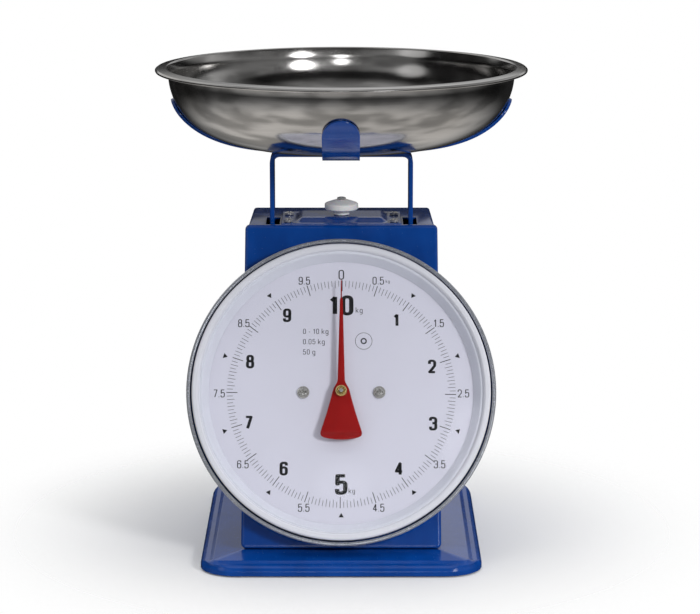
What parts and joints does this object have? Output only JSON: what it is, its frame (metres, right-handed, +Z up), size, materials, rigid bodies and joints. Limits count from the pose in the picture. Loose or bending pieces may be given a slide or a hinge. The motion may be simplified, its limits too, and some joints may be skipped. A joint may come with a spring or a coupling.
{
  "type": "kitchen scale",
  "caption": "Spring dial kitchen scale with a round weighing bowl, a leaning round dial on a tapered blue steel housing, a flared base and a zero adjusting knob on top.",
  "frame": {"origin": "on the table, straight under the middle of the bowl (the load axis)", "axes": "+Z up, the dial faces -Y, +X to the right of someone reading the dial"},
  "size_m": [0.2506, 0.2506, 0.32],
  "materials": {
    "blue_paint": "glossy baked enamel",
    "zinc_steel": "zinc-plated sheet steel",
    "screw_steel": "nickel-plated screw steel",
    "stainless": "spun and polished stainless steel",
    "white_ring": "white enamel",
    "dial_white": "satin printed dial",
    "clear_lens": "clear moulded plastic",
    "red_pointer": "red lacquer",
    "brass": "turned brass",
    "white_plastic": "moulded plastic",
    "spring_steel": "oiled spring wire",
    "rubber": "moulded rubber"
  },
  "bodies": {
    "housing": {"body_shell": "blue_paint", "front_panel": "blue_paint", "base_skirt": "blue_paint", "bottom_plate": "zinc_steel", "foot_front_left": "rubber", "foot_front_right": "rubber", "foot_rear_left": "rubber", "foot_rear_right": "rubber", "rear_cover": "blue_paint", "rear_screw_lower_left": "screw_steel", "rear_screw_lower_right": "screw_steel", "rear_screw_upper_left": "screw_steel", "rear_screw_upper_right": "screw_steel", "top_bracket": "blue_paint", "bracket_screw_front_left": "screw_steel", "bracket_screw_front_right": "screw_steel", "bracket_screw_rear_left": "screw_steel", "bracket_screw_rear_right": "screw_steel", "movement_plate_front": "brass", "movement_plate_rear": "brass", "pillar_lower": "brass", "pillar_upper": "brass", "dial_drum": "blue_paint", "dial_plate": "dial_white", "bezel_ring": "white_ring", "lens": "clear_lens", "dial_screw_left": "screw_steel", "dial_screw_right": "screw_steel", "stay_bracket": "zinc_steel", "stay_pin_housing": "zinc_steel"},
    "load_frame": {"yoke": "blue_paint", "crossbar": "zinc_steel", "pan_spider": "blue_paint", "spider_screw_left": "screw_steel", "spider_screw_right": "screw_steel", "rack": "brass", "rack_arm": "zinc_steel", "stay_lug": "zinc_steel", "stay_pin_load": "zinc_steel"},
    "bowl": {"bowl": "stainless"},
    "pointer_spindle": {"spindle": "zinc_steel", "pinion": "brass", "pointer": "red_pointer", "pointer_hub": "brass"},
    "stay": {"stay_link": "zinc_steel"},
    "zero_knob": {"zero_knob": "white_plastic", "zero_screw": "screw_steel"},
    "spring_hanger": {"hanger_bar": "zinc_steel", "spring_left": "spring_steel", "spring_right": "spring_steel"}
  },
  "joints": [
    {"name": "load_slide", "type": "slide", "parent": "housing", "child": "load_frame", "axis": [0, 0, -1], "range_m": [0, 0.0201], "stiffness_N_per_m": 4860, "springref_m": -0.002, "deforming": ["spring_left", "spring_right"]},
    {"name": "bowl_lift", "type": "slide", "parent": "load_frame", "child": "bowl", "axis": [0, 0, 1], "range_m": [0, 0.08]},
    {"name": "pointer_spin", "type": "hinge", "parent": "housing", "child": "pointer_spindle", "pos_m": [0, -0.06626, 0.1092], "axis": [0, 0.9336, -0.3584], "range_deg": [0, 360]},
    {"name": "stay_swing", "type": "hinge", "parent": "housing", "child": "stay", "pos_m": [-0.01, 0.05102, 0.10295], "axis": [1, 0, 0], "range_deg": [0, 22.39]},
    {"name": "zero_turn", "type": "hinge", "parent": "housing", "child": "zero_knob", "pos_m": [0, 0, 0.2188], "axis": [0, 0, 1], "range_deg": [-360, 360]},
    {"name": "hanger_slide", "type": "slide", "parent": "housing", "child": "spring_hanger", "axis": [0, 0, 1], "range_m": [-0.0008, 0.0008]}
  ],
  "couplings": [
    {"joint": "pointer_spin", "follows": "load_slide", "rad_per_m": 311.19},
    {"joint": "stay_swing", "follows": "load_slide", "rad_per_m": 19.352},
    {"joint": "zero_turn", "follows": "hanger_slide", "rad_per_m": -7854}
  ]
}
